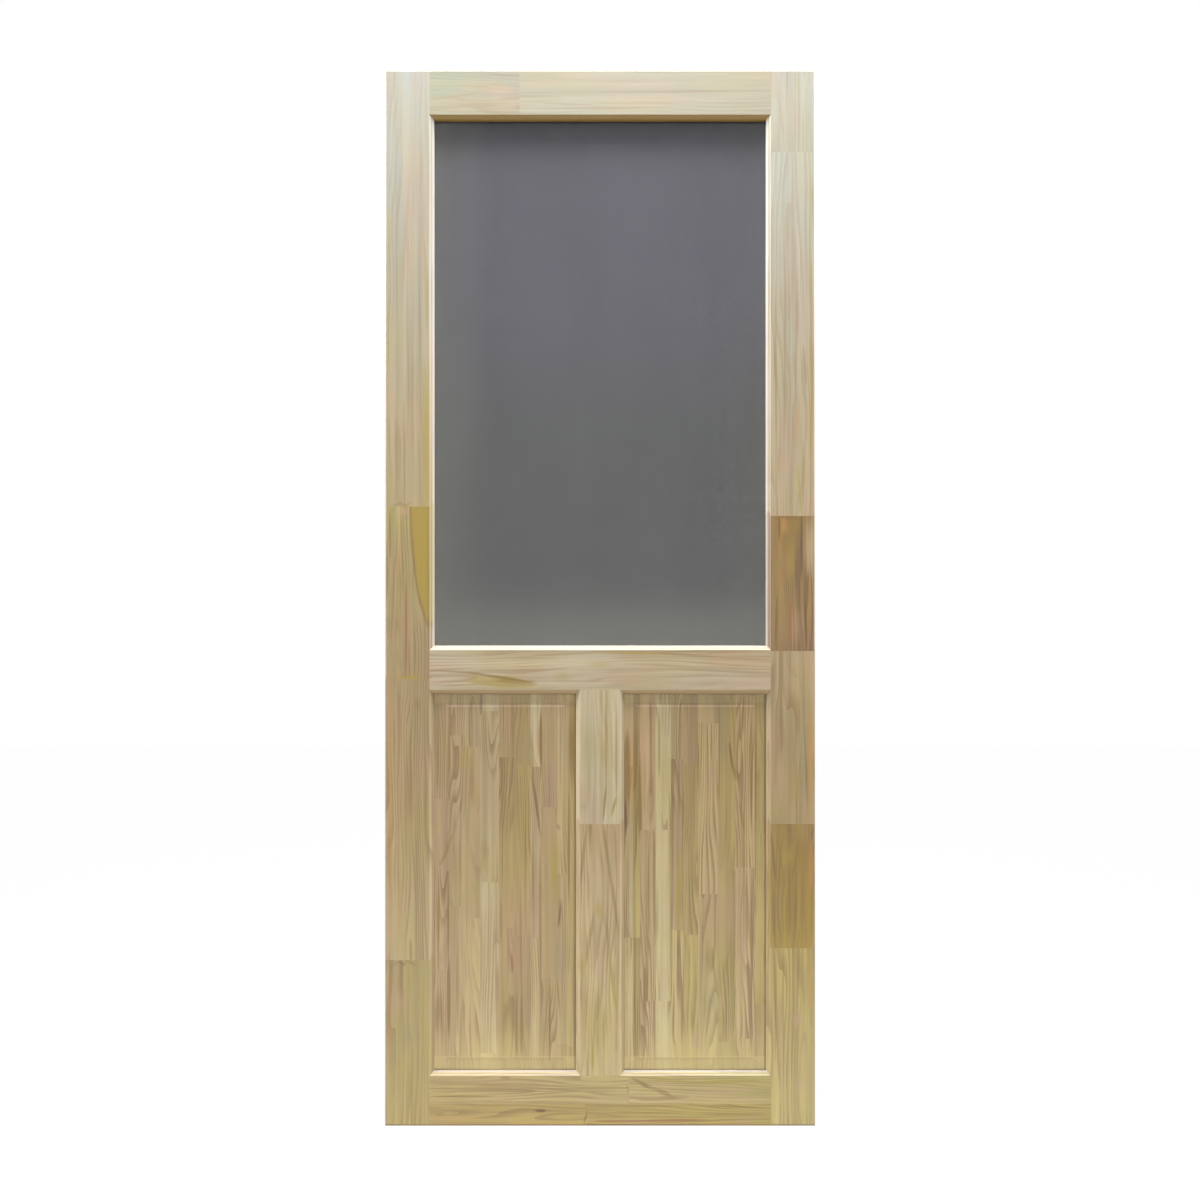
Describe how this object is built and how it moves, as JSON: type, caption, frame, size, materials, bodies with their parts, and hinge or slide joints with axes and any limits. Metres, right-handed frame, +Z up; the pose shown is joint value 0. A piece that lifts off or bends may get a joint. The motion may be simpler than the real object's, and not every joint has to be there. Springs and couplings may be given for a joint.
{
  "type": "wooden screen door leaf",
  "caption": "Bare pine screen door leaf: stiles, rails and a mullion with moulded inner edges, insect screen above, raised and fielded panels below.",
  "frame": {"origin": "on the hinge edge's flat face, at mid height and mid thickness", "axes": "+Z up the leaf, +X from the hinge edge to the lock edge, front face towards -Y"},
  "size_m": [0.828, 0.0286, 2.032],
  "materials": {
    "stile_pine": "planed, unfinished",
    "rail_pine": "planed, unfinished",
    "panel_pine": "planed, unfinished",
    "stop_pine": "planed, unfinished",
    "screen_cloth": "coated woven glass yarn"
  },
  "bodies": {
    "root": {"left_stile_block_1": "stile_pine", "left_stile_block_2": "stile_pine", "left_stile_block_3": "stile_pine", "left_stile_block_4": "stile_pine", "right_stile_block_1": "stile_pine", "right_stile_block_2": "stile_pine", "right_stile_block_3": "stile_pine", "right_stile_block_4": "stile_pine", "right_stile_block_5": "stile_pine", "right_stile_block_6": "stile_pine", "top_rail_left": "rail_pine", "top_rail_right": "rail_pine", "mid_rail": "rail_pine", "bottom_rail_lower_left": "rail_pine", "bottom_rail_lower_right": "rail_pine", "bottom_rail_upper_left": "rail_pine", "bottom_rail_upper_right": "rail_pine", "mullion_lower": "rail_pine", "mullion_upper": "rail_pine", "panel_left": "panel_pine", "panel_right": "panel_pine", "screen_mesh": "screen_cloth", "stop_bottom": "stop_pine", "stop_top": "stop_pine", "stop_left": "stop_pine", "stop_right": "stop_pine"}
  },
  "joints": []
}
